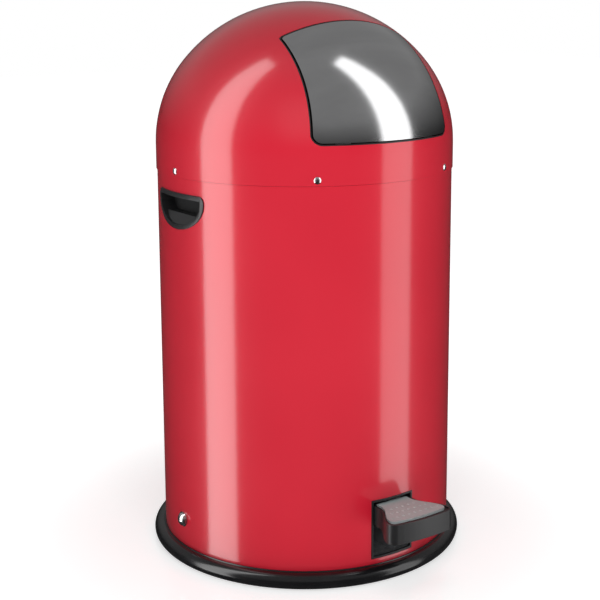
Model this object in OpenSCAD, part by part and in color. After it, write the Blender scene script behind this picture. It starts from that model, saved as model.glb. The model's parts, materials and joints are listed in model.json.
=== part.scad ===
// Dome-top pedal bin: steel body and lift-off dome hood, push flap, inner bucket and pedal linkage.
// Millimetres, +Z up. The origin is on the floor at the centre of the base, and the front faces -Y.

/* [Body] */
// Outside diameter of the steel body
body_d = 360; // [300:5:440]
// Height of the seam between the body and the hood above the floor
body_top = 471; // [380:1:620]
// Thickness of the painted steel sheet
sheet_t = 1.2; // [0.8:0.1:1.6]
// Gap left between the body's top edge and the hood
seam_gap = 0.4; // [0.3:0.1:1]

/* [Base] */
// Height of the base ring beside the body
ring_h = 19; // [14:1:26]
// How far the base ring stands out from the body
ring_out = 14; // [10:1:20]
// How far the base ring reaches in under the body
ring_in = 14; // [12:1:20]
// Height of the body's lower edge above the floor
body_seat = 8; // [6:1:10]
// How far the rubber foot ring stands below the base ring
foot_drop = 1; // [0.5:0.5:2]
// Width of the rubber foot ring
foot_w = 8; // [5:0.5:8]

/* [Hood] */
// How far the hood's skirt stands out from the body
skirt_proud = 1.2; // [0.6:0.1:2.5]
// Height of the straight skirt below the dome
skirt_h = 30; // [26:1:45]
// How much lower than a half sphere the dome is
dome_flat = 13.2; // [8:0.2:18]
// How much smaller than the dome's height the radius of its shoulder is
shoulder_drop = 12; // [9:1:14]
// Number of screws round the skirt
screw_count = 6; // [4:2:8]
// Height of the skirt screws above the seam
screw_rise = 6.5; // [5:0.5:9]

/* [Flap] */
// Height of the flap's lower edge above the foot of the dome
flap_low = 17; // [10:1:25]
// Angle from upright of the plane that the flap's upper edge lies in
flap_tilt = 31; // [27:1:36]
// From the side of the dome in to the flap's upper corner, at the height of the hinge
side_top = 23.7; // [20:0.1:30]
// How much further out the flap's lower corner stands than its upper corner
flap_spread = 10; // [6:0.5:14]
// Thickness of the stainless sheet
flap_t = 1.2; // [0.8:0.1:2]
// Depth of the flap's turned-in rim
rim_d = 6; // [4:0.5:8]
// Gap between the flap and the edge of the hood
flap_gap = 2.8; // [2.4:0.1:4]
// How far the flap swings, in degrees
flap_open = 55; // [40:1:58]
// Depth of the flap's hinge line under the dome
hinge_depth = 34; // [32:1:40]

/* [Grips] */
// Width of the hand grips
grip_w = 101; // [80:1:120]
// Height of the hand grips
grip_h = 43; // [36:1:50]
// From the seam down to the top of the grips
grip_drop = 18; // [18:1:60]
// Depth of the hand pocket
grip_depth = 22; // [14:1:23]

/* [Pedal] */
// Height of the axle above the floor
axle_z = 52.5; // [45:0.5:56]
// Diameter of the axle
axle_d = 8; // [6:0.5:10]
// How far the pedal turns, in degrees
pedal_turn = 9; // [6:0.5:9]
// Width of the pedal's neck
neck_w = 52; // [44:1:60]
// Width of the pedal's front
pedal_w = 90; // [70:1:110]
// How far the pedal reaches out from the body
pedal_reach = 60; // [50:1:75]
// Height of the pedal's top above the floor
pedal_top = 92; // [86:1:96]
// Thickness of the pedal
pedal_t = 24; // [18:1:28]
// Width of the steel lever
lever_w = 40; // [30:1:42]
// Gap between the pedal's neck and the slot's trim
slot_gap = 1.4; // [1:0.1:3]

/* [Push rods] */
// Diameter of the push rods
rod_d = 8; // [6:0.5:10]
// From the inside of the body to the middle of the rods
rod_lane = 14.8; // [13:0.2:20]

/* [Bucket] */
// Height of the bucket's underside above the floor
bucket_low = 98; // [98:1:120]
// Thickness of the bucket's wall
bucket_t = 1; // [0.7:0.1:1.5]
// How much smaller the bucket's radius is at the bottom
bucket_taper = 9.6; // [4:0.2:20]
// Radius of the bucket's rolled rim
bead_r = 3.2; // [2.5:0.1:4]
// Diameter of the bucket's bail wire
bail_d = 5; // [4:0.5:6]
// Diameter of the grip on the bail
bail_grip_d = 11; // [8:0.5:12]

/* [Hidden] */
$fn = 96;
BIG = 500;                       // longer than any cut needs
run = 0.05;                      // radial running clearance of a shaft in its hole
slide = 0.08;                    // radial clearance of a rod in its guide
touch = 0.3;                     // gap between parts that rest on each other but part in use

// Body and hood
body_r = body_d / 2;
body_ri = body_r - sheet_t;
hood_r = body_r + skirt_proud;
dome_z = body_top + skirt_h;
dome_h = hood_r - dome_flat;
shoulder_r = dome_h - shoulder_drop;
shoulder_x = hood_r - shoulder_r;
crown_drop = (shoulder_x * shoulder_x - shoulder_drop * shoulder_drop) / (2 * shoulder_drop);
crown_r = dome_h + crown_drop;
blend_angle = atan2(crown_drop, shoulder_x);

// Base
ring_r = body_r + ring_out;
nose_r = (ring_h + 0.6 - foot_drop) / 2;
foot_c = body_ri - ring_in / 2;    // radius of the foot ring's middle and of the screw circle
foot_h = 4;
base_angles = [45:90:315];
base_screw_r = 1.9;

// Seat for the hood and the bucket
skirt_ri = hood_r - sheet_t;
lip_t = 1.2;                     // thickness of the bucket ring's sheet
lip_up = 15;
shelf_z = body_top - 17;
shelf_top = shelf_z + lip_t;
lip_ri = body_ri - lip_t;
spigot_gap = 0.5;
spigot_r = lip_ri - spigot_gap;
spigot_t = 2.5;
collar_t = skirt_ri - 4;
collar_h = 15;

// Push rods and bucket radii
rod_r = rod_d / 2;
rod_y = body_ri - rod_lane;
rod_bead_gap = 3;
bead_c = rod_y - rod_r - rod_bead_gap - bead_r;
bucket_rt = bead_c - bead_r + bucket_t;
bucket_rb = bucket_rt - bucket_taper;
shelf_gap = 1;
shelf_ri = bucket_rt + shelf_gap;
bead_z = shelf_top + touch + bead_r;
bail_r = bail_d / 2;
bail_grip_r = bail_grip_d / 2;
bail_c = bead_c - 2;
bail_z = bead_z + bead_r + touch + bail_grip_r;
ear_t = 2;
ear_x = bucket_rt - bucket_t - 2;
ear_w = 24;

// Slot in the body's front
trim_t = 1.6;
slot_w = neck_w + 2 * (slot_gap + trim_t);
slot_low = ring_h + 9;
slot_high = pedal_top + 6;

// Axle, lever and pedal
axle_r = axle_d / 2;
hub_r = axle_r + 4;
hub_w = 50;
web_t = 3;
web_front = pedal_top - 16;      // middle of the lever's web inside the pedal
web_hub = axle_z + hub_r + web_t / 2 - 1;
web_rear = 52;
web_rear_top = web_rear + web_t / 2;
pedal_back = body_r - 8;
pedal_front = body_r + pedal_reach;
pedal_corner = 9;
pedal_edge = 2.6;                // black edge left round the pad
pad_t = 3;
pad_proud = 1;

// Motion
lift = rod_y * tan(pedal_turn) + 0.2;
foot_z = web_rear_top + touch;
rod_meet = body_top - 27;        // where the two push rods meet
cap_h = 3;

// Flap hinge, measured from the middle of the dome's foot
hinge_r = sqrt(crown_r * crown_r - pow(crown_drop * sin(flap_tilt), 2))
        - crown_drop * cos(flap_tilt) - hinge_depth;
hinge_y = -hinge_r * sin(flap_tilt);
hinge_z = hinge_r * cos(flap_tilt);
dome_half = sqrt(crown_r * crown_r - hinge_y * hinge_y - pow(hinge_z + crown_drop, 2));
half_top = dome_half - side_top;
half_low = half_top + flap_spread;
trim_run = 1.4;                  // running gap between the flap and its black trim
trim_lap = 3;                    // how far the trim reaches behind the hood
tab_x = half_top + flap_gap + trim_lap + 0.4;
tab_t = 2.5;
shaft_r = 3;
sleeve_r = shaft_r + 2;
arm_x = half_top - 22;
arm_t = 2.5;
crank_l = lift / (2 * sin(flap_open / 2));
roller_r = 5;
roller_w = rod_d + 1;
roller_y = hinge_y + crank_l * cos(flap_open / 2);
roller_z = hinge_z - crank_l * sin(flap_open / 2);
pad_gap = 0.6;
pad_top = roller_z - roller_r - pad_gap;
pad_plate = 3;

// Curved push rod in the hood: it clears the bail below and the dome above
bail_clear = 2.4;
arc_r = bail_c + bail_grip_r + bail_clear + rod_r;
arc_rise = 2.3;
arc_z = bail_z - dome_z + arc_rise;
arc_top = arc_z + arc_r;
kink = atan2(-arc_z, rod_y) + acos(arc_r / norm([rod_y, arc_z]));
front_z = pad_top - pad_plate - rod_r;

RED = [0.80, 0.09, 0.13];
BLACK = [0.09, 0.09, 0.10];
STEEL = [0.62, 0.63, 0.65];
ZINC = [0.52, 0.54, 0.56];
GREY = [0.70, 0.70, 0.71];
RUBBER = [0.13, 0.13, 0.13];
CREAM = [0.82, 0.80, 0.74];

// ---- Shared shapes ----

function unit(v) = v / norm(v);

// The arc that rounds corner p between its neighbours a and b
function corner(p, a, b, r, n = 8) =
    let (u = unit(a - p), w = unit(b - p), half = acos(u * w) / 2,
         c = p + unit(u + w) * r / sin(half),
         s = p + u * r / tan(half) - c, e = p + w * r / tan(half) - c,
         a0 = atan2(s.y, s.x), turn = (atan2(e.y, e.x) - a0 + 540) % 360 - 180)
    [for (i = [0:n]) c + r * [cos(a0 + turn * i / n), sin(a0 + turn * i / n)]];

module tube(ro, ri, z0, z1) {
    translate([0, 0, z0]) difference() {
        cylinder(r = ro, h = z1 - z0);
        translate([0, 0, -1]) cylinder(r = ri, h = z1 - z0 + 2);
    }
}

// A cylinder along X, from x0 to x1
module bar_x(r, x0, x1, y = 0, z = 0) {
    translate([x0, y, z]) rotate([0, 90, 0]) cylinder(r = r, h = x1 - x0);
}

// An outline of Y and Z, drawn out along X from x0 to x1
module along_x(x0, x1) {
    translate([x0, 0, 0]) rotate([90, 0, 90]) linear_extrude(x1 - x0) children();
}

module box(low, high) {
    translate(low) cube(high - low);
}

module both_sides() {
    children();
    mirror([1, 0, 0]) children();
}

// Half outline of the hood, moved inwards by inset; the height is above the foot of the dome
module hood_outline(inset) {
    far_x = shoulder_x + BIG * cos(blend_angle);
    intersection() {
        translate([0, -crown_drop]) circle(r = crown_r - inset, $fn = 180);
        polygon([[0, 0], [shoulder_x, 0], [far_x, BIG * sin(blend_angle)], [0, BIG]]);
    }
    intersection() {
        translate([shoulder_x, 0]) circle(r = shoulder_r - inset, $fn = 180);
        square(BIG);
    }
    translate([0, -skirt_h]) square([hood_r - inset, skirt_h + 1]);
}

// The hood's solid shape, or the layer of it between two insets
module hood_solid(inset) {
    translate([0, 0, dome_z]) rotate_extrude($fn = 180) hood_outline(inset);
}

module hood_layer(outer, inner) {
    translate([0, 0, dome_z]) rotate_extrude($fn = 180) difference() {
        hood_outline(outer);
        hood_outline(inner);
        translate([-1, -skirt_h - 1]) square([hood_r - inner + 1, skirt_h + 1]);
    }
}

// The space of the flap, grown on every side
module flap_space(grow) {
    corner_z = hinge_z + 12;
    taper = (half_low - half_top) / (corner_z - flap_low);
    low = flap_low - grow;
    wide = half_low + grow * (1 + taper);
    high = corner_z + 60;
    narrow = wide - taper * (high - low);
    r_low = 9 + grow;
    r_top = 7 + grow;
    spread = 4 * taper;
    top = half_top + grow;
    far = 240;
    translate([0, 0, dome_z]) intersection() {
        rotate([90, 0, 0]) linear_extrude(BIG) polygon(concat(
            corner([wide, low], [-wide, low], [narrow, high], r_low),
            [[narrow, high], [-narrow, high]],
            corner([-wide, low], [-narrow, high], [wide, low], r_low)));
        rotate([flap_tilt, 0, 0]) linear_extrude(BIG) polygon(concat(
            corner([-top, grow], [-top - spread * far, -far], [top, grow], r_top),
            corner([top, grow], [-top, grow], [top + spread * far, -far], r_top),
            [[top + spread * far, -far], [-top - spread * far, -far]]));
    }
}

// A block behind the hood's skin, trimmed to fit against it
module fitted(inset, low, high) {
    intersection() {
        hood_solid(inset);
        box(low, high);
    }
}

// A round-headed screw with a cross slot: the head's base is at z = 0 and the shank goes down
module screw(head_r, head_h, shank_r, shank_l) {
    difference() {
        union() {
            intersection() {
                translate([0, 0, head_h - head_r * 1.4]) sphere(r = head_r * 1.4, $fn = 48);
                cylinder(r = head_r, h = head_h, $fn = 48);
            }
            translate([0, 0, -shank_l]) cylinder(r = shank_r, h = shank_l + 0.1, $fn = 32);
        }
        for (a = [0, 90]) rotate([0, 0, a])
            translate([-head_r * 0.55, -head_r * 0.11, head_h * 0.45])
                cube([head_r * 1.1, head_r * 0.22, head_h]);
    }
}

// Half-moon outline of a grip: y across and z up, moved inwards by inset
module grip_outline(inset) {
    half = grip_w / 2 - inset;
    top = body_top - grip_drop - inset;
    side = 10 - inset;
    r = side - 2;
    deep = grip_h - 10 - inset;
    polygon(concat(
        corner([half, top], [half, top - side - 9], [-half, top], r),
        corner([-half, top], [half, top], [-half, top - side - 9], r),
        [for (a = [180:12:360]) [half * cos(a), top - side + deep * sin(a)]]));
}

// Outline of the pedal from above, moved inwards by inset and cut off at y = -back
function pedal_outline(inset, back) =
    let (cx = pedal_w / 2 - pedal_corner,
         cy = sqrt(pow(pedal_front - pedal_corner, 2) - cx * cx),
         start = body_r + 6, end = atan2(cy, cx), rc = pedal_corner - inset,
         half = concat(
            [[neck_w / 2 - inset, -back]],
            [for (i = [0:12]) let (t = i / 12, ease = t * t * (3 - 2 * t))
                [neck_w / 2 + (pedal_w - neck_w) / 2 * ease - inset, -(start + (cy - start) * t)]],
            [for (i = [1:8]) [cx + rc * cos(end * i / 8), -cy - rc * sin(end * i / 8)]],
            [for (i = [1:5]) let (a = end + (90 - end) * i / 5)
                (pedal_front - inset) * [cos(a), -sin(a)]]))
    concat(half, [for (i = [len(half) - 2:-1:0]) [-half[i].x, half[i].y]]);

// A round rod in the YZ plane through the points, with a ball at each end and corner
module bent_rod(points, r) {
    for (i = [0:len(points) - 1]) {
        translate([0, points[i].x, points[i].y]) sphere(r = r + 0.2, $fn = 48);
        if (i > 0) {
            d = points[i] - points[i - 1];
            translate([0, points[i - 1].x, points[i - 1].y]) rotate([atan2(d.y, d.x) - 90, 0, 0])
                cylinder(r = r, h = norm(d));
        }
    }
}

// ---- Housing ----

module slot_box(grow) {
    box([-slot_w / 2 - grow, -body_r - 20, slot_low - grow],
        [slot_w / 2 + grow, -body_r + 20, slot_high + grow]);
}

module body_shell() {
    color(RED) difference() {
        tube(body_r, body_ri, body_seat, body_top - seam_gap);
        slot_box(0);
        both_sides() along_x(body_r - 40, body_r + 5) grip_outline(2.8);
        bar_x(axle_r + 0.1, -BIG, BIG, 0, axle_z);
    }
}

module foot_groove() {
    tube(foot_c + foot_w / 2, foot_c - foot_w / 2, 0, foot_h);
}

module at_base_screws(z) {
    for (a = base_angles) rotate([0, 0, a]) translate([foot_c, 0, z]) children();
}

module base_ring() {
    nose_x = ring_r - nose_r;
    nose_z = foot_drop + nose_r;
    wall = body_r + 0.2;
    lip_w = 1.4;
    color(BLACK) difference() {
        rotate_extrude($fn = 180) difference() {
            union() {
                translate([nose_x, nose_z]) circle(r = nose_r, $fn = 64);
                translate([body_ri - ring_in, foot_drop])
                    square([nose_x - body_ri + ring_in, 2 * nose_r]);
                translate([wall, nose_z]) square([lip_w, nose_r + 1]);
            }
            translate([0, body_seat]) square([wall, BIG]);
        }
        foot_groove();
        at_base_screws(body_seat - 3) cylinder(r = base_screw_r, h = BIG);
    }
}

module base_plate() {
    r = body_ri - 0.2;
    color(ZINC) difference() {
        union() {
            translate([0, 0, body_seat]) cylinder(r = r, h = sheet_t);
            tube(r, r - sheet_t, body_seat, body_seat + 15);
        }
        at_base_screws(0) cylinder(r = base_screw_r, h = BIG);
    }
}

module foot_ring() {
    color(RUBBER) foot_groove();
}

module base_screws() {
    color(STEEL) at_base_screws(body_seat + sheet_t) screw(3.6, 2.2, base_screw_r, sheet_t + 3);
}

module slot_trim() {
    color(BLACK) difference() {
        intersection() {
            tube(body_r + 0.8, body_ri - 1.4, slot_low - 2, slot_high + 2);
            slot_box(1.2);
        }
        slot_box(-trim_t);
        difference() {
            tube(body_r, body_ri, 0, BIG);
            slot_box(0);
        }
    }
}

// Moulded hand grip on the right-hand side; the left one mirrors it
module grip() {
    back = body_r - grip_depth - 2.5;
    mid_z = body_top - grip_drop - grip_h * 0.6;
    low_z = body_top - grip_drop - grip_h;
    difference() {
        intersection() {
            cylinder(r = body_r + 1.4, h = BIG);
            union() {
                along_x(back, body_r + 5) grip_outline(3);
                difference() {
                    along_x(body_r - 30, body_r + 5) grip_outline(0);
                    cylinder(r = body_r, h = BIG);
                }
            }
        }
        difference() {
            along_x(body_r - grip_depth, body_r + 5) grip_outline(5.5);
            rotate([90, 0, 0]) linear_extrude(BIG, center = true)
                polygon([[back, low_z - 1], [body_r + 0.5, low_z - 1], [body_r + 0.5, low_z + 3],
                         [body_r - 9, mid_z], [back, mid_z]]);
        }
    }
}

module grip_right() {
    color(BLACK) grip();
}

module grip_left() {
    color(BLACK) mirror([1, 0, 0]) grip();
}

module axle() {
    color(STEEL) bar_x(axle_r, -body_r - 3, body_r + 3, 0, axle_z);
}

module axle_caps() {
    cap_r = axle_r + 4;
    color(STEEL) both_sides() translate([body_r, 0, axle_z]) rotate([0, 90, 0]) difference() {
        union() {
            cylinder(r = cap_r + 1, h = 1.2);
            translate([0, 0, 1.2]) cylinder(r = cap_r - 0.4, h = 1.6);
            intersection() {
                translate([0, 0, -2.5]) sphere(r = cap_r + 1.6, $fn = 64);
                translate([0, 0, 2.8]) cylinder(r = cap_r + 1, h = 9);
            }
        }
        translate([0, 0, -1]) cylinder(r = axle_r, h = 4);
    }
}

module axle_nuts() {
    color(STEEL) both_sides() translate([body_ri - 7, 0, axle_z]) rotate([0, 90, 0]) difference() {
        cylinder(r = 7.5, h = 6, $fn = 6);
        translate([0, 0, -1]) cylinder(r = axle_r, h = 9);
    }
}

module axle_spacers() {
    color(CREAM) both_sides() difference() {
        bar_x(axle_r + 2, hub_w / 2 + touch, body_ri - 7.5, 0, axle_z);
        bar_x(axle_r + 0.1, 0, body_r, 0, axle_z);
    }
}

// Folded guide that keeps the lever in line behind the slot
module lever_guide() {
    inner = slot_w / 2;
    back = body_r - 76;
    front = body_r - 8;
    base = body_seat + sheet_t;
    color(ZINC) {
        box([-inner - 1.5, -front, base], [inner + 1.5, -back, base + 1.5]);
        both_sides() along_x(inner, inner + 1.5) polygon(concat(
            [[-front, base + 1], [-front, pedal_top - 6]],
            corner([-back, pedal_top - 6], [-front, pedal_top - 6], [-back, base + 1], 22),
            [[-back, base + 1]]));
    }
}

// Shelf that the bucket hangs on and the hood's collar plugs into
module bucket_ring() {
    color(ZINC) difference() {
        union() {
            tube(body_ri, shelf_ri, shelf_z, shelf_top);
            tube(body_ri, lip_ri, shelf_z, shelf_z + lip_up);
        }
        translate([0, rod_y, 0]) cylinder(r = rod_r + 3, h = BIG, $fn = 48);
    }
}

module rod_guide(low) {
    color(CREAM) difference() {
        intersection() {
            cylinder(r = body_ri, h = BIG);
            box([-12, rod_y - rod_r - 4, low], [12, body_r, low + 12]);
        }
        translate([0, rod_y, 0]) cylinder(r = rod_r + slide, h = BIG, $fn = 48);
    }
}

module rod_guide_upper() {
    rod_guide(rod_meet - 50);
}

module rod_guide_lower() {
    rod_guide(bucket_low + 36);
}

// ---- Pedal and its lever ----

function web_line(drop) = [[-pedal_front + 26, web_front - drop], [-body_r + 22, web_front - drop],
    [-14, web_hub - drop], [14, web_hub - drop], [rod_y - 16, web_rear - drop],
    [rod_y + 7, web_rear - drop]];

function reversed(list) = [for (i = [len(list) - 1:-1:0]) list[i]];

module pedal_lever() {
    top = web_line(-web_t / 2);
    low = web_line(web_t / 2);
    rib = web_line(11);
    color(ZINC) difference() {
        union() {
            along_x(-lever_w / 2, lever_w / 2) polygon(concat(top, reversed(low)));
            both_sides() along_x(lever_w / 2 - 2.5, lever_w / 2) polygon(concat(
                [for (i = [1:4]) top[i]], [for (i = [4:-1:1]) rib[i]]));
            bar_x(hub_r, -hub_w / 2, hub_w / 2, 0, axle_z);
        }
        bar_x(axle_r + run, -BIG, BIG, 0, axle_z);
        for (y = pedal_screw_y) translate([0, -y, 0]) cylinder(r = 2, h = BIG);
    }
}

module pedal_shell() {
    low = pedal_top - pedal_t;
    color(BLACK) difference() {
        translate([0, 0, low]) linear_extrude(pedal_t) polygon(pedal_outline(0, pedal_back));
        translate([0, 0, pedal_top + pad_proud - pad_t])
            linear_extrude(pad_t) polygon(pedal_outline(pedal_edge - 0.1, pedal_back - 5));
        box([-lever_w / 2 - 0.1, -pedal_front + 25.8, web_front - web_t / 2],
            [lever_w / 2 + 0.1, 0, web_front + web_t / 2]);
        for (y = pedal_screw_y) translate([0, -y, 0]) {
            cylinder(r = 5, h = web_front);
            cylinder(r = 2, h = web_front + 8);
        }
    }
}

pedal_screw_y = [body_r + 8, body_r + 26];

// Grip pad with rows of low round studs
module pedal_pad() {
    top = pedal_top + pad_proud;
    color(GREY) {
        translate([0, 0, top - pad_t]) linear_extrude(pad_t)
            polygon(pedal_outline(pedal_edge, body_r - 3));
        for (row = [0:2], i = [-2 - row:2 + row])
            translate([i * 9, -(body_r + 20 + 12 * row), top - 0.5]) intersection() {
                translate([0, 0, -1.7]) sphere(r = 3, $fn = 32);
                cylinder(r = 3, h = 2, $fn = 32);
            }
    }
}

module pedal_screws() {
    color(STEEL) for (y = pedal_screw_y) translate([0, -y, web_front - web_t / 2])
        rotate([180, 0, 0]) screw(4, 2.4, 2, web_t + 6);
}

// ---- Push rod in the body ----

module push_rod() {
    color(STEEL) translate([0, rod_y, foot_z + 4])
        cylinder(r = rod_r, h = rod_meet - touch - cap_h - foot_z - 2.5);
}

module rod_foot() {
    r = rod_r + 3;
    color(BLACK) translate([0, rod_y, foot_z]) difference() {
        intersection() {
            translate([0, 0, r + 1]) sphere(r = r + 1, $fn = 48);
            cylinder(r = r, h = 15);
        }
        translate([0, 0, 4]) cylinder(r = rod_r, h = 20);
    }
}

// Plastic end cap: the rod's end sits 1.5 mm inside it
module end_cap(down) {
    mirror([0, 0, down ? 1 : 0]) difference() {
        translate([0, 0, -2]) cylinder(r = rod_r + 1.5, h = cap_h + 2);
        translate([0, 0, -3]) cylinder(r = rod_r, h = 4.5);
    }
}

module rod_cap() {
    color(BLACK) translate([0, rod_y, rod_meet - touch - cap_h]) end_cap(false);
}

// ---- Bucket ----

bucket_fold = 5;

// Outside radius of the bucket's wall at a height
function wall_r(z) = bucket_rb + bucket_taper * (z - bucket_low - bucket_fold)
                   / (bead_z - bucket_low - bucket_fold);

module bucket_shell() {
    fold = bucket_fold;
    rb = bucket_rb;
    rt = bucket_rt;
    t = bucket_t;
    color(ZINC) difference() {
        rotate_extrude($fn = 180) {
            polygon([[0, bucket_low], [rb - fold, bucket_low], [rb, bucket_low + fold], [rt, bead_z],
                     [rt - t, bead_z], [rb - t, bucket_low + fold + 0.4],
                     [rb - fold - 0.4, bucket_low + t], [0, bucket_low + t]]);
            translate([bead_c, bead_z]) circle(r = bead_r, $fn = 48);
        }
        both_sides() for (z = ear_rivet_z) bar_x(2, ear_x, BIG, 0, z);
    }
}

module bail_ears() {
    low = bead_z - 30;
    color(STEEL) both_sides() difference() {
        along_x(ear_x - ear_t, ear_x) union() {
            translate([-ear_w / 2, low]) square([ear_w, bail_z - low]);
            translate([0, bail_z]) circle(r = 8);
        }
        bar_x(bail_r + slide, 0, BIG, 0, bail_z);
        for (z = ear_rivet_z) bar_x(2, 0, BIG, 0, z);
    }
}

ear_rivet_z = [bead_z - 23, bead_z - 11];

module ear_rivets() {
    color(STEEL) both_sides() for (z = ear_rivet_z) {
        outer = wall_r(z) + 0.12;
        bar_x(2, ear_x - ear_t - 1, outer + 0.4, 0, z);
        bar_x(4, ear_x - ear_t - 1.2, ear_x - ear_t, 0, z);
        bar_x(4, outer, outer + 1, 0, z);
    }
}

module bail_wire() {
    color(STEEL) translate([0, 0, bail_z]) {
        rotate_extrude(angle = 180, $fn = 180) translate([bail_c, 0]) circle(r = bail_r, $fn = 32);
        both_sides() {
            bar_x(bail_r, ear_x - ear_t - 4, bail_c);
            translate([bail_c, 0, 0]) sphere(r = bail_r, $fn = 32);
        }
    }
}

module bail_grip() {
    color(BLACK) translate([0, 0, bail_z]) rotate([0, 0, 70])
        rotate_extrude(angle = 40, $fn = 180) translate([bail_c, 0]) difference() {
            circle(r = bail_grip_r, $fn = 32);
            circle(r = bail_r, $fn = 32);
        }
}

// ---- Hood ----

function screw_angle(i) = 360 / screw_count * (i + 0.5);

module at_skirt_screws() {
    for (i = [0:screw_count - 1]) rotate([0, 0, screw_angle(i) - 90])
        translate([hood_r, 0, body_top + screw_rise]) rotate([0, 90, 0]) children();
}

module hood_shell() {
    color(RED) difference() {
        hood_layer(0, sheet_t);
        flap_space(flap_gap);
        at_skirt_screws() translate([0, 0, -10]) cylinder(r = 2.2, h = 20, $fn = 32);
    }
}

module hood_collar() {
    color(BLACK) difference() {
        union() {
            tube(skirt_ri, collar_t, body_top, body_top + collar_h);
            tube(spigot_r, spigot_r - spigot_t, shelf_top + 1.5, body_top + collar_h);
        }
        at_skirt_screws() translate([0, 0, -15]) cylinder(r = 1.85, h = 30, $fn = 32);
    }
}

module hood_screws() {
    color(STEEL) at_skirt_screws() screw(4, 2.2, 1.85, 6);
}

// Black trim round the flap's opening
module opening_trim() {
    edge = flap_gap - trim_run;
    color(BLACK) difference() {
        union() {
            intersection() {
                hood_layer(0.5, 4);
                flap_space(flap_gap);
            }
            intersection() {
                hood_layer(sheet_t, 4);
                flap_space(flap_gap + trim_lap);
            }
        }
        flap_space(flap_gap - edge);
    }
}

module hinge_tabs() {
    color(STEEL) both_sides() difference() {
        fitted(sheet_t, [tab_x, hinge_y - 9, dome_z + hinge_z - 9],
                        [tab_x + tab_t, hinge_y + 14, dome_z + hinge_z + 30]);
        bar_x(shaft_r, 0, BIG, hinge_y, dome_z + hinge_z);
        flap_space(flap_gap + trim_lap + 0.2);
    }
}

module hinge_shaft() {
    color(STEEL) bar_x(shaft_r, -tab_x - tab_t, tab_x + tab_t, hinge_y, dome_z + hinge_z);
}

module hinge_clips() {
    color(STEEL) both_sides() difference() {
        bar_x(shaft_r + 2, tab_x - 1.4, tab_x - 0.2, hinge_y, dome_z + hinge_z);
        bar_x(shaft_r, 0, BIG, hinge_y, dome_z + hinge_z);
    }
}

// Torsion springs round the flap's sleeve
spring_turns = 7;
spring_wire = 0.7;
spring_r = sleeve_r + spring_wire + 0.6;
spring_x = 15;
spring_pitch = 2;
spring_leg = 16;
spring_steps = 16;               // points in one turn
spring_sides = 6;

function spring_path() = concat(
    [[spring_x, -spring_leg, -spring_r]],
    [for (i = [0:spring_turns * spring_steps]) let (t = i / spring_steps, a = t * 360 - 90)
        [spring_x + spring_pitch * t, spring_r * cos(a), spring_r * sin(a)]],
    [[spring_x + spring_pitch * spring_turns, spring_leg, -spring_r]]);

module spring() {
    path = spring_path();
    sides = spring_sides;
    last = len(path) - 1;
    rings = [for (i = [0:last])
        let (d = unit(path[min(i + 1, last)] - path[max(i - 1, 0)]),
             u = unit(cross(d, [1, 0, 0])), w = cross(d, u))
        for (k = [0:sides - 1]) let (a = 360 * k / sides)
            path[i] + spring_wire * (u * cos(a) + w * sin(a))];
    walls = [for (i = [0:last - 1], k = [0:sides - 1])
        let (n = (k + 1) % sides) [i * sides + k, i * sides + n, (i + 1) * sides + n,
                                   (i + 1) * sides + k]];
    polyhedron(rings, concat(walls, [[for (k = [sides - 1:-1:0]) k]],
                             [[for (k = [0:sides - 1]) last * sides + k]]), convexity = 10);
}

module flap_springs() {
    color(STEEL) both_sides() translate([0, hinge_y, dome_z + hinge_z]) spring();
}

module lift_rod_guide() {
    low = body_top + 9;
    color(CREAM) difference() {
        intersection() {
            cylinder(r = spigot_r - spigot_t, h = BIG);
            box([-11, rod_y - rod_r - 1.4, low], [11, body_r, low + 12]);
        }
        translate([0, rod_y, 0]) cylinder(r = rod_r + slide, h = BIG, $fn = 48);
    }
}

// Two cheeks under the crown that keep the curved rod from leaning sideways
module rod_keeper() {
    low = arc_top - rod_r - 2;
    color(STEEL) both_sides()
        fitted(sheet_t, [rod_r + 0.4, -9, dome_z + low], [rod_r + 2.4, 9, dome_z + BIG]);
}

// ---- Flap ----

module flap_plate() {
    color(STEEL) {
        intersection() {
            hood_layer(0, flap_t);
            flap_space(0);
        }
        difference() {
            intersection() {
                hood_layer(0, rim_d);
                flap_space(0);
            }
            flap_space(-flap_t);
        }
    }
}

module flap_arms() {
    reach = hood_r + 20;
    color(STEEL) both_sides() difference() {
        intersection() {
            hood_solid(flap_t);
            translate([0, 0, dome_z]) along_x(arm_x, arm_x + arm_t) union() {
                polygon([[hinge_y + 3, hinge_z - 7], [hinge_y - 6, hinge_z + 5],
                         [-reach * cos(46), reach * sin(46)], [-reach * cos(24), reach * sin(24)]]);
                translate([hinge_y, hinge_z]) circle(r = 8);
            }
        }
        bar_x(sleeve_r, 0, BIG, hinge_y, dome_z + hinge_z);
    }
}

module flap_sleeve() {
    long = arm_x + arm_t + 1;
    color(STEEL) difference() {
        bar_x(sleeve_r, -long, long, hinge_y, dome_z + hinge_z);
        bar_x(shaft_r + run, -BIG, BIG, hinge_y, dome_z + hinge_z);
    }
}

module flap_crank() {
    color(STEEL) both_sides() difference() {
        translate([0, 0, dome_z]) along_x(roller_w / 2 + 0.2, roller_w / 2 + 2.7) union() {
            translate([hinge_y, hinge_z]) circle(r = 8);
            translate([roller_y, roller_z]) circle(r = 4);
            translate([hinge_y, hinge_z]) rotate(-flap_open / 2)
                translate([0, -4]) square([crank_l, 8]);
        }
        bar_x(sleeve_r, 0, BIG, hinge_y, dome_z + hinge_z);
        bar_x(2, 0, BIG, roller_y, dome_z + roller_z);
    }
}

module crank_roller() {
    color(BLACK) difference() {
        bar_x(roller_r, -roller_w / 2, roller_w / 2, roller_y, dome_z + roller_z);
        bar_x(2 + run, -BIG, BIG, roller_y, dome_z + roller_z);
    }
}

module crank_pin() {
    long = roller_w / 2 + 3.2;
    color(STEEL) bar_x(2, -long, long, roller_y, dome_z + roller_z);
}

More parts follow.
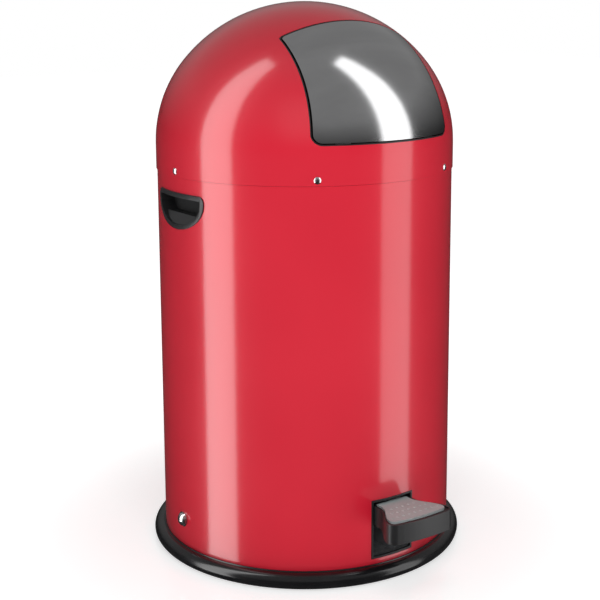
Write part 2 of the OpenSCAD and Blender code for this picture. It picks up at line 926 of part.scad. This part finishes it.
// Tabs at the flap's foot that meet the inside of the hood when it closes
module stop_layer(outer, inner, low, high) {
    intersection() {
        hood_layer(outer, inner);
        both_sides() box([half_low - 42, -BIG, dome_z + flap_low + low],
                         [half_low - 26, 0, dome_z + flap_low + high]);
    }
}

module flap_stops() {
    color(STEEL) stop_layer(rim_d, rim_d + 1.5, -11, 14);
}

module stop_bumpers() {
    color(RUBBER) stop_layer(4.3, rim_d, -11, -flap_gap - 0.5);
}

// ---- Curved push rod in the hood ----

module lift_rod() {
    low = rod_meet + touch + cap_h - 1.5 - dome_z;
    tangent = arc_r * [cos(kink), sin(kink)] + [0, arc_z];
    color(STEEL) translate([0, 0, dome_z]) {
        translate([0, rod_y, low]) cylinder(r = rod_r, h = -low);
        bent_rod([[rod_y, 0], tangent], rod_r);
        translate([0, 0, arc_z]) rotate([90, 0, 90]) rotate([0, 0, kink])
            rotate_extrude(angle = 90 - kink, $fn = 180) translate([arc_r, 0]) circle(r = rod_r);
        bent_rod([[0, arc_top], [-18, arc_top], [-26, front_z], [roller_y - 13, front_z]],
                 rod_r);
    }
}

module lift_pad() {
    half = roller_w / 2 - 0.2;
    color(STEEL) box([-half, roller_y - 13, dome_z + pad_top - pad_plate],
                     [half, roller_y + 10, dome_z + pad_top]);
}

module lift_rod_tip() {
    color(BLACK) translate([0, rod_y, rod_meet + touch + cap_h]) end_cap(true);
}

body_shell();
base_ring();
base_plate();
foot_ring();
base_screws();
slot_trim();
grip_left();
grip_right();
axle();
axle_caps();
axle_nuts();
axle_spacers();
lever_guide();
bucket_ring();
rod_guide_upper();
rod_guide_lower();
pedal_lever();
pedal_shell();
pedal_pad();
pedal_screws();
push_rod();
rod_foot();
rod_cap();
bucket_shell();
bail_ears();
ear_rivets();
bail_wire();
bail_grip();
hood_shell();
hood_collar();
hood_screws();
opening_trim();
hinge_tabs();
hinge_shaft();
hinge_clips();
flap_springs();
lift_rod_guide();
rod_keeper();
flap_plate();
flap_arms();
flap_sleeve();
flap_crank();
crank_roller();
crank_pin();
flap_stops();
stop_bumpers();
lift_rod();
lift_pad();
lift_rod_tip();
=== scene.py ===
import json
import math

import bmesh
import bpy
from mathutils import Matrix, Vector


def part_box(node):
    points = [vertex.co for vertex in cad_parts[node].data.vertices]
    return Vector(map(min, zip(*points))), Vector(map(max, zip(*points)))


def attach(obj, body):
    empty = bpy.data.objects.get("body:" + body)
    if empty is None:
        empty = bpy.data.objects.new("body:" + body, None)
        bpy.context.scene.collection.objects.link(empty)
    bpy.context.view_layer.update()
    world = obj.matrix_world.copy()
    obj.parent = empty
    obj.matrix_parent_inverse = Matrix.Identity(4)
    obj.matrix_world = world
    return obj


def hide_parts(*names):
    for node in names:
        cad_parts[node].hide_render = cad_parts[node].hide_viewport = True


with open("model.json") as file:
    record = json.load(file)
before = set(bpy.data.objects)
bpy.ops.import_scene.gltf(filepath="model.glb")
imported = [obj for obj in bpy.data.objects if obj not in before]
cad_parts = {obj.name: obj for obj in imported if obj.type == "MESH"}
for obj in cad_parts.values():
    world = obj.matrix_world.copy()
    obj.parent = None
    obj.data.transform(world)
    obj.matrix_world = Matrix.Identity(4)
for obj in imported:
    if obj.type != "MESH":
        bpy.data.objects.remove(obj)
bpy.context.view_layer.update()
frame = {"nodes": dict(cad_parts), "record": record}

MM = 0.001

# ---------------------------------------------------------------- materials


def new_material(name, colour, roughness, metallic=0.0):
    """A Principled material with its even values on the shader's own sockets."""
    material = bpy.data.materials.new(name)
    material.use_nodes = True
    shader = material.node_tree.nodes["Principled BSDF"]
    shader.inputs["Base Color"].default_value = (*colour, 1)
    shader.inputs["Roughness"].default_value = roughness
    shader.inputs["Metallic"].default_value = metallic
    return material, shader


def noise(material, scale, detail=3.0, stretch=(1, 1, 1)):
    """Noise in the object's own metres; stretch pulls its cells out along an axis."""
    nodes, links = material.node_tree.nodes, material.node_tree.links
    place = nodes.new("ShaderNodeTexCoord")
    mapping = nodes.new("ShaderNodeMapping")
    mapping.inputs["Scale"].default_value = stretch
    texture = nodes.new("ShaderNodeTexNoise")
    texture.inputs["Scale"].default_value = scale
    texture.inputs["Detail"].default_value = detail
    links.new(place.outputs["Object"], mapping.inputs["Vector"])
    links.new(mapping.outputs["Vector"], texture.inputs["Vector"])
    return texture


def cells(material, scale):
    """Voronoi cells in the object's own metres."""
    nodes, links = material.node_tree.nodes, material.node_tree.links
    place = nodes.new("ShaderNodeTexCoord")
    texture = nodes.new("ShaderNodeTexVoronoi")
    texture.inputs["Scale"].default_value = scale
    links.new(place.outputs["Object"], texture.inputs["Vector"])
    return texture


def vary_colour(material, shader, output, dark, light, low=0.35, high=0.65):
    """Runs the base colour between two shades by a texture."""
    nodes, links = material.node_tree.nodes, material.node_tree.links
    ramp = nodes.new("ShaderNodeValToRGB")
    ramp.color_ramp.elements[0].position = low
    ramp.color_ramp.elements[1].position = high
    ramp.color_ramp.elements[0].color = (*dark, 1)
    ramp.color_ramp.elements[1].color = (*light, 1)
    links.new(output, ramp.inputs["Fac"])
    links.new(ramp.outputs["Color"], shader.inputs["Base Color"])


def vary_roughness(material, shader, output, smooth, rough):
    """Runs the roughness between two values by a texture."""
    nodes, links = material.node_tree.nodes, material.node_tree.links
    spread = nodes.new("ShaderNodeMapRange")
    spread.inputs["From Min"].default_value = 0.2
    spread.inputs["From Max"].default_value = 0.8
    spread.inputs["To Min"].default_value = smooth
    spread.inputs["To Max"].default_value = rough
    links.new(output, spread.inputs["Value"])
    links.new(spread.outputs["Result"], shader.inputs["Roughness"])


def add_bump(material, shader, outputs, depth_mm):
    """Relief from one or more (texture output, share) pairs, added up."""
    nodes, links = material.node_tree.nodes, material.node_tree.links
    total = None
    for output, share in outputs:
        scaled = nodes.new("ShaderNodeMath")
        scaled.operation = "MULTIPLY"
        scaled.inputs[1].default_value = share
        links.new(output, scaled.inputs[0])
        if total is None:
            total = scaled.outputs[0]
            continue
        added = nodes.new("ShaderNodeMath")
        links.new(total, added.inputs[0])
        links.new(scaled.outputs[0], added.inputs[1])
        total = added.outputs[0]
    bump = nodes.new("ShaderNodeBump")
    bump.inputs["Distance"].default_value = depth_mm * MM
    links.new(total, bump.inputs["Height"])
    links.new(bump.outputs["Normal"], shader.inputs["Normal"])


def red_paint():
    """Baked enamel on steel: fine orange peel, faint unevenness in the gloss."""
    material, shader = new_material("red_paint", (0.70, 0.018, 0.042), 0.3)
    shader.inputs["Specular IOR Level"].default_value = 0.25
    shader.inputs["Coat Weight"].default_value = 1.0
    shader.inputs["Coat Roughness"].default_value = 0.13
    broad = noise(material, 7, 2)
    peel = noise(material, 420, 2)
    grain = noise(material, 1900, 2)
    dark, light = (0.66, 0.012, 0.033), (0.72, 0.014, 0.037)
    vary_colour(material, shader, broad.outputs["Fac"], dark, light, 0.15, 0.85)
    vary_roughness(material, shader, broad.outputs["Fac"], 0.27, 0.33)
    add_bump(material, shader, [(peel.outputs["Fac"], 1), (grain.outputs["Fac"], 0.25)], 0.012)
    return material


def moulded_plastic(name, dark, light, smooth, rough, grain_mm):
    """Injection-moulded plastic: a fine etched grain and slightly uneven gloss."""
    material, shader = new_material(name, light, rough)
    broad = noise(material, 14, 4)
    grain = noise(material, 1500, 3)
    vary_colour(material, shader, broad.outputs["Fac"], dark, light)
    vary_roughness(material, shader, broad.outputs["Fac"], smooth, rough)
    add_bump(material, shader, [(grain.outputs["Fac"], 1)], grain_mm)
    return material


def brushed_steel(name, dark, light, smooth, rough, stretch):
    """Steel with fine lines drawn along one axis."""
    material, shader = new_material(name, light, rough, 1.0)
    lines = noise(material, 30, 6, stretch)
    broad = noise(material, 8, 3)
    vary_colour(material, shader, lines.outputs["Fac"], dark, light, 0.3, 0.7)
    vary_roughness(material, shader, broad.outputs["Fac"], smooth, rough)
    add_bump(material, shader, [(lines.outputs["Fac"], 1)], 0.03)
    return material


def galvanised(name):
    """Zinc-coated sheet gone dull, with its soft spangle."""
    material, shader = new_material(name, (0.5, 0.51, 0.52), 0.42, 0.4)
    spangle = cells(material, 110)
    broad = noise(material, 12, 4)
    dark, light = (0.42, 0.43, 0.45), (0.60, 0.61, 0.62)
    vary_colour(material, shader, spangle.outputs["Color"], dark, light, 0.1, 0.9)
    vary_roughness(material, shader, broad.outputs["Fac"], 0.34, 0.5)
    add_bump(material, shader, [(spangle.outputs["Distance"], 1), (broad.outputs["Fac"], 0.4)], 0.02)
    return material


def soft_rubber(name, dark, light):
    """Dull rubber with a fine tooth."""
    material, shader = new_material(name, light, 0.6)
    broad = noise(material, 20, 4)
    tooth = noise(material, 2400, 2)
    vary_colour(material, shader, broad.outputs["Fac"], dark, light)
    vary_roughness(material, shader, broad.outputs["Fac"], 0.5, 0.66)
    add_bump(material, shader, [(tooth.outputs["Fac"], 1)], 0.05)
    return material


def natural_plastic(name):
    """Unpigmented nylon, a little translucent."""
    material, shader = new_material(name, (0.72, 0.70, 0.62), 0.4)
    shader.inputs["Subsurface Weight"].default_value = 0.12
    shader.inputs["Subsurface Scale"].default_value = 2 * MM
    broad = noise(material, 25, 3)
    vary_colour(material, shader, broad.outputs["Fac"], (0.66, 0.63, 0.54), (0.76, 0.74, 0.67))
    vary_roughness(material, shader, broad.outputs["Fac"], 0.34, 0.46)
    return material


ALONG_X, ALONG_Z = (0.04, 1, 1), (1, 1, 0.1)
MATERIALS = {
    "red_paint": red_paint(),
    "black_gloss": moulded_plastic(
        "black_gloss", (0.007, 0.007, 0.008), (0.011, 0.011, 0.012), 0.16, 0.24, 0.01),
    "black_plastic": moulded_plastic(
        "black_plastic", (0.013, 0.013, 0.014), (0.019, 0.019, 0.02), 0.36, 0.46, 0.03),
    "natural_plastic": natural_plastic("natural_plastic"),
    "grey_pad": soft_rubber("grey_pad", (0.50, 0.56, 0.56), (0.55, 0.61, 0.61)),
    "stainless": brushed_steel(
        "stainless", (0.44, 0.44, 0.445), (0.52, 0.52, 0.525), 0.13, 0.17, ALONG_X),
    "bright_steel": brushed_steel(
        "bright_steel", (0.62, 0.62, 0.63), (0.72, 0.72, 0.73), 0.16, 0.26, ALONG_Z),
    "zinc": galvanised("zinc"),
    "rubber": soft_rubber("rubber", (0.012, 0.012, 0.012), (0.02, 0.02, 0.02)),
}

# ------------------------------------------------------- carried-over nodes

WELD_MM = 0.002
FLAT_DEGREES = 0.5
SHARP_DEGREES = 35


def slot_of(node):
    """The record's material slot that a CAD node takes its finish from."""
    return next(row["material_slot"] for row in frame["record"]["subparts"] if row["node"] == node)


def finish_node(node, edge_mm):
    """Gives a CAD node its material, and rounds its sharp edges by edge_mm."""
    obj = frame["nodes"][node]
    obj.data.materials.clear()
    obj.data.materials.append(MATERIALS[slot_of(node)])
    if edge_mm > 0:
        round_edges(obj, edge_mm)


def round_edges(obj, edge_mm):
    """Welds the facets of a mesh into flats and bevels the sharp edges between them."""
    weld = obj.modifiers.new("weld", "WELD")
    weld.merge_threshold = WELD_MM * MM
    flat = obj.modifiers.new("flat", "DECIMATE")
    flat.decimate_type = "DISSOLVE"
    flat.angle_limit = math.radians(FLAT_DEGREES)
    edge = obj.modifiers.new("edge", "BEVEL")
    edge.limit_method = "ANGLE"
    edge.angle_limit = math.radians(SHARP_DEGREES)
    edge.width = edge_mm * MM
    edge.segments = 2
    edge.harden_normals = True


def new_piece(name, data, body, slot, *nodes):
    """Puts a finished mesh in the scene: it rides on its body and stands for its CAD nodes."""
    data.materials.clear()
    data.materials.append(MATERIALS[slot])
    piece = bpy.data.objects.new(name, data)
    bpy.context.scene.collection.objects.link(piece)
    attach(piece, body)
    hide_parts(*nodes)
    return piece


def lathe(name, outline, steps):
    """Mesh turned about Z from a closed (radius, height) outline in metres, normals outwards."""
    mesh = bmesh.new()
    rings = []
    for i in range(steps):
        c, s = math.cos(2 * math.pi * i / steps), math.sin(2 * math.pi * i / steps)
        rings.append([mesh.verts.new((r * c, r * s, z)) for r, z in outline])
    for i in range(steps):
        here, there = rings[i], rings[(i + 1) % steps]
        for k in range(len(outline)):
            n = (k + 1) % len(outline)
            mesh.faces.new((here[k], there[k], there[n], here[n]))
    bmesh.ops.recalc_face_normals(mesh, faces=mesh.faces)
    data = bpy.data.meshes.new(name)
    mesh.to_mesh(data)
    mesh.free()
    data.shade_smooth()
    return data


def arc(centre, radius, start, end, steps):
    """(radius, height) points on an arc; the angles are in degrees from outwards to up."""
    turns = [math.radians(start + (end - start) * i / steps) for i in range(steps + 1)]
    return [(centre[0] + radius * math.cos(t), centre[1] + radius * math.sin(t)) for t in turns]


# -------------------------------------------------------------- the shells

hood_low, hood_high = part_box("hood_shell")
body_low, body_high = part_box("body_shell")
BODY_R = body_high.x
HOOD_R = hood_high.x
SKIRT_H = 29.6 * MM
CROWN_RISE = 12 * MM  # the crown's own height above the top of the shoulder's arc
DOME_FOOT = hood_low.z + SKIRT_H
SHOULDER_R = hood_high.z - DOME_FOOT - CROWN_RISE
SHOULDER_X = HOOD_R - SHOULDER_R
CROWN_DROP = (SHOULDER_X**2 - CROWN_RISE**2) / (2 * CROWN_RISE)
MERGE = 0.001 * MM
FACING = 0.94  # cosine up to which a facet counts as lying on the curved surface


def dome_normal(point):
    """Outward direction of the hood at a point: skirt, shoulder or crown."""
    level = Vector((point.x, point.y, 0))
    if point.z <= DOME_FOOT:
        return level.normalized()
    rise = point.z - DOME_FOOT
    over = level.length - SHOULDER_X
    if over > 0 and rise / over < CROWN_DROP / SHOULDER_X:
        centre = level.normalized() * SHOULDER_X + Vector((0, 0, DOME_FOOT))
    else:
        centre = Vector((0, 0, DOME_FOOT - CROWN_DROP))
    return (point - centre).normalized()


def wall_normal(point):
    """Outward direction of the body's wall at a point."""
    return Vector((point.x, point.y, 0)).normalized()


def true_skin(name, node, body, slot, normal_at):
    """Copy of a shell whose curved faces are shaded by the surface's own formula."""
    data = frame["nodes"][node].data.copy()
    mesh = bmesh.new()
    mesh.from_mesh(data)
    bmesh.ops.remove_doubles(mesh, verts=mesh.verts, dist=MERGE)
    mesh.to_mesh(data)
    mesh.free()
    normals = []
    for face in data.polygons:
        flat = face.normal
        for index in face.vertices:
            true = normal_at(data.vertices[index].co)
            facing = flat.dot(true)
            if abs(facing) > FACING:
                normals.append(true if facing > 0 else -true)
            else:
                normals.append(flat.copy())
    data.shade_smooth()
    data.normals_split_custom_set(normals)
    new_piece(name, data, body, slot, node)


RING_GAP = 0.2 * MM
LIP_W, LIP_UP, LIP_ROUND = 1.4 * MM, 1 * MM, 0.4 * MM
LIP_STEP = 0.5 * MM  # from the lip's outer side to where the ring's round back begins
BAND_W, BAND_INSET = 8 * MM, 3 * MM
RING_STEPS, NOSE_STEPS, LIP_STEPS = 288, 40, 5
RING_CREASE = 40


def make_base_ring():
    """Fat moulded ring with a thin lip against the body, open in the middle."""
    low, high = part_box("base_ring")
    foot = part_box("foot_ring")[1]
    nose_r = (high.z - LIP_UP - low.z) / 2
    nose = (high.x - nose_r, low.z + nose_r)
    wall, lip_z = BODY_R + RING_GAP, high.z - LIP_ROUND
    band = foot.x - BAND_W
    inside = band - BAND_INSET
    outline = arc(nose, nose_r, -90, 90, NOSE_STEPS)
    outline += [(wall + LIP_W + LIP_STEP, nose[1] + nose_r)]
    outline += arc((wall + LIP_W - LIP_ROUND, lip_z), LIP_ROUND, 0, 90, LIP_STEPS)
    outline += arc((wall + LIP_ROUND, lip_z), LIP_ROUND, 90, 180, LIP_STEPS)
    outline += [(wall, body_low.z), (inside, body_low.z), (inside, low.z)]
    outline += [(band, low.z), (band, foot.z), (foot.x, foot.z), (foot.x, low.z)]
    data = lathe("base_ring_skin", outline, RING_STEPS)
    data.set_sharp_from_angle(angle=math.radians(RING_CREASE))
    new_piece("base_ring_skin", data, "housing", "black_gloss", "base_ring")


PAD_ACROSS, PAD_ALONG = 0.92, 0.92
PAD_EDGE = 0.4


def make_pad():
    """The pedal's grip pad, drawn in from the rim so that the black lip shows round it."""
    data = frame["nodes"]["pedal_pad"].data.copy()
    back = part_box("pedal_pad")[1].y
    for vertex in data.vertices:
        vertex.co.x *= PAD_ACROSS
        vertex.co.y = back + (vertex.co.y - back) * PAD_ALONG
    pad = new_piece("pedal_pad_skin", data, "pedal", "grey_pad", "pedal_pad")
    round_edges(pad, PAD_EDGE)


true_skin("body_skin", "body_shell", "housing", "red_paint", wall_normal)
true_skin("hood_skin", "hood_shell", "hood", "red_paint", dome_normal)
true_skin("flap_skin", "flap_plate", "flap", "stainless", dome_normal)
make_base_ring()
make_pad()

# ------------------------------------------- carried-over nodes, with edges

# Millimetres of rounding on the edges that a hand or eye would meet
EDGES = {
    "pedal_shell": 1.1, "grip_left": 0.9, "grip_right": 0.9, "slot_trim": 0.4, "pedal_lever": 0.5,
    "lever_guide": 0.25, "rod_keeper": 0.3, "lift_pad": 0.3, "flap_arms": 0.3, "flap_crank": 0.3,
    "hinge_tabs": 0.3, "bail_ears": 0.3, "axle": 0.4, "axle_spacers": 0.3, "crank_roller": 0.4,
    "lift_rod_guide": 0.4, "rod_guide_upper": 0.4, "rod_guide_lower": 0.4, "foot_ring": 0.6,
}
for node in frame["nodes"]:
    finish_node(node, EDGES.get(node, 0))

# ------------------------------------------------------------------- studio

FLOOR_HALF, FLOOR_THICK = 8.0, 0.05
GLOW_REACH, GLOW = (0.2, 0.6), (0.62, 1.0)
OVERHEAD_FROM = 0.4  # height of a direction, on a unit sphere, where full overhead light begins
CAMERA_TURN = -34.5
CAMERA_BACK, CAMERA_UP = 1.62, 0.693
CAMERA_PITCH, CAMERA_ROLL = 10.55, 0.27
CAMERA_LENS, CAMERA_SHIFT = 79.68, (-0.008, -0.12)
# Name, turn off the camera's side, height, distance, size, watts, height aimed at, in gloss
SOFT_LIGHTS = (
    ("left_strip", -65, 1.55, 1.15, (0.54, 4.1), 31, 1.55, True),
    ("right_strip", 69, 1.55, 1.14, (0.54, 4.1), 15, 1.55, True),
    ("front_fill", 4, 1.6, 2.3, (2.0, 1.6), 30, 0.35, False),
    ("top_fill", 10, 2.6, 0.5, (1.2, 1.2), 7, 0.1, False),
)


def floor_material():
    """Pale lacquered board with a glow of its own that grows away from the object."""
    material, shader = new_material("floor", (0.82, 0.82, 0.82), 0.16)
    nodes, links = material.node_tree.nodes, material.node_tree.links
    place = nodes.new("ShaderNodeTexCoord")
    away = nodes.new("ShaderNodeVectorMath")
    away.operation = "LENGTH"
    glow = nodes.new("ShaderNodeMapRange")
    glow.interpolation_type = "SMOOTHSTEP"
    glow.inputs["From Min"].default_value, glow.inputs["From Max"].default_value = GLOW_REACH
    glow.inputs["To Min"].default_value, glow.inputs["To Max"].default_value = GLOW
    links.new(place.outputs["Object"], away.inputs[0])
    links.new(away.outputs["Value"], glow.inputs["Value"])
    links.new(glow.outputs["Result"], shader.inputs["Emission Strength"])
    shader.inputs["Emission Color"].default_value = (1, 1, 1, 1)
    broad = noise(material, 0.8, 2)
    vary_roughness(material, shader, broad.outputs["Fac"], 0.15, 0.17)
    return material


def make_floor():
    """A wide pale slab whose top is the floor; no gloss shows it, as in a lit white studio."""
    mesh = bmesh.new()
    bmesh.ops.create_cube(mesh, size=1)
    bmesh.ops.scale(mesh, vec=(2 * FLOOR_HALF, 2 * FLOOR_HALF, FLOOR_THICK), verts=mesh.verts)
    bmesh.ops.translate(mesh, vec=(0, 0, -FLOOR_THICK / 2), verts=mesh.verts)
    data = bpy.data.meshes.new("floor")
    mesh.to_mesh(data)
    mesh.free()
    data.materials.append(floor_material())
    floor = bpy.data.objects.new("floor", data)
    bpy.context.scene.collection.objects.link(floor)
    floor.visible_glossy = floor.visible_shadow = False


def soft_light(name, turn, height, distance, size, power, aim, mirrored):
    """A softbox off the camera's side: seen either as a reflection or as plain light."""
    data = bpy.data.lights.new(name, "AREA")
    data.shape = "RECTANGLE"
    data.size, data.size_y = size
    data.energy = power
    a = math.radians(CAMERA_TURN + turn)
    light = bpy.data.objects.new(name, data)
    bpy.context.scene.collection.objects.link(light)
    light.location = (distance * math.sin(a), -distance * math.cos(a), height)
    towards = Vector((0, 0, aim)) - light.location
    light.rotation_mode = "QUATERNION"
    light.rotation_quaternion = towards.to_track_quat("-Z", "Y")
    light.visible_camera = False
    light.visible_glossy = mirrored
    light.visible_diffuse = not mirrored


def make_world(seen, light, horizon, overhead):
    """White to the camera, even light on matt surfaces, darker low down in reflections."""
    world = bpy.data.worlds.new("studio")
    bpy.context.scene.world = world
    world.use_nodes = True
    nodes, links = world.node_tree.nodes, world.node_tree.links
    nodes.clear()
    out = nodes.new("ShaderNodeOutputWorld")
    path = nodes.new("ShaderNodeLightPath")
    place = nodes.new("ShaderNodeTexCoord")
    split = nodes.new("ShaderNodeSeparateXYZ")
    rise = nodes.new("ShaderNodeMapRange")
    rise.inputs["From Min"].default_value = 0.0
    rise.inputs["From Max"].default_value = OVERHEAD_FROM
    rise.inputs["To Min"].default_value = horizon
    rise.inputs["To Max"].default_value = overhead
    links.new(place.outputs["Generated"], split.inputs["Vector"])
    links.new(split.outputs["Z"], rise.inputs["Value"])
    matt, mirrored, white = (nodes.new("ShaderNodeBackground") for _ in range(3))
    matt.inputs["Strength"].default_value = light
    white.inputs["Strength"].default_value = seen
    links.new(rise.outputs["Result"], mirrored.inputs["Strength"])
    for background in (matt, mirrored, white):
        background.inputs["Color"].default_value = (1, 1, 1, 1)
    by_gloss, by_camera = nodes.new("ShaderNodeMixShader"), nodes.new("ShaderNodeMixShader")
    for mix, test, off, on in (
        (by_gloss, "Is Glossy Ray", matt, mirrored), (by_camera, "Is Camera Ray", by_gloss, white)
    ):
        links.new(path.outputs[test], mix.inputs[0])
        links.new(off.outputs[0], mix.inputs[1])
        links.new(on.outputs[0], mix.inputs[2])
    links.new(by_camera.outputs[0], out.inputs["Surface"])


def make_camera():
    """The camera stands off the front's left side at eye height above the hood."""
    data = bpy.data.cameras.new("camera")
    data.lens = CAMERA_LENS
    data.shift_x, data.shift_y = CAMERA_SHIFT
    camera = bpy.data.objects.new("camera", data)
    bpy.context.scene.collection.objects.link(camera)
    turn = math.radians(CAMERA_TURN)
    stand = (CAMERA_BACK * math.sin(turn), -CAMERA_BACK * math.cos(turn), CAMERA_UP)
    camera.matrix_world = (
        Matrix.Translation(stand)
        @ Matrix.Rotation(turn, 4, "Z")
        @ Matrix.Rotation(math.radians(90 - CAMERA_PITCH), 4, "X")
        @ Matrix.Rotation(math.radians(-CAMERA_ROLL), 4, "Z")
    )
    bpy.context.scene.camera = camera


bpy.context.scene.view_settings.view_transform = "Standard"
make_floor()
make_world(seen=1.0, light=0.08, horizon=0.03, overhead=0.32)
for row in SOFT_LIGHTS:
    soft_light(*row)
make_camera()
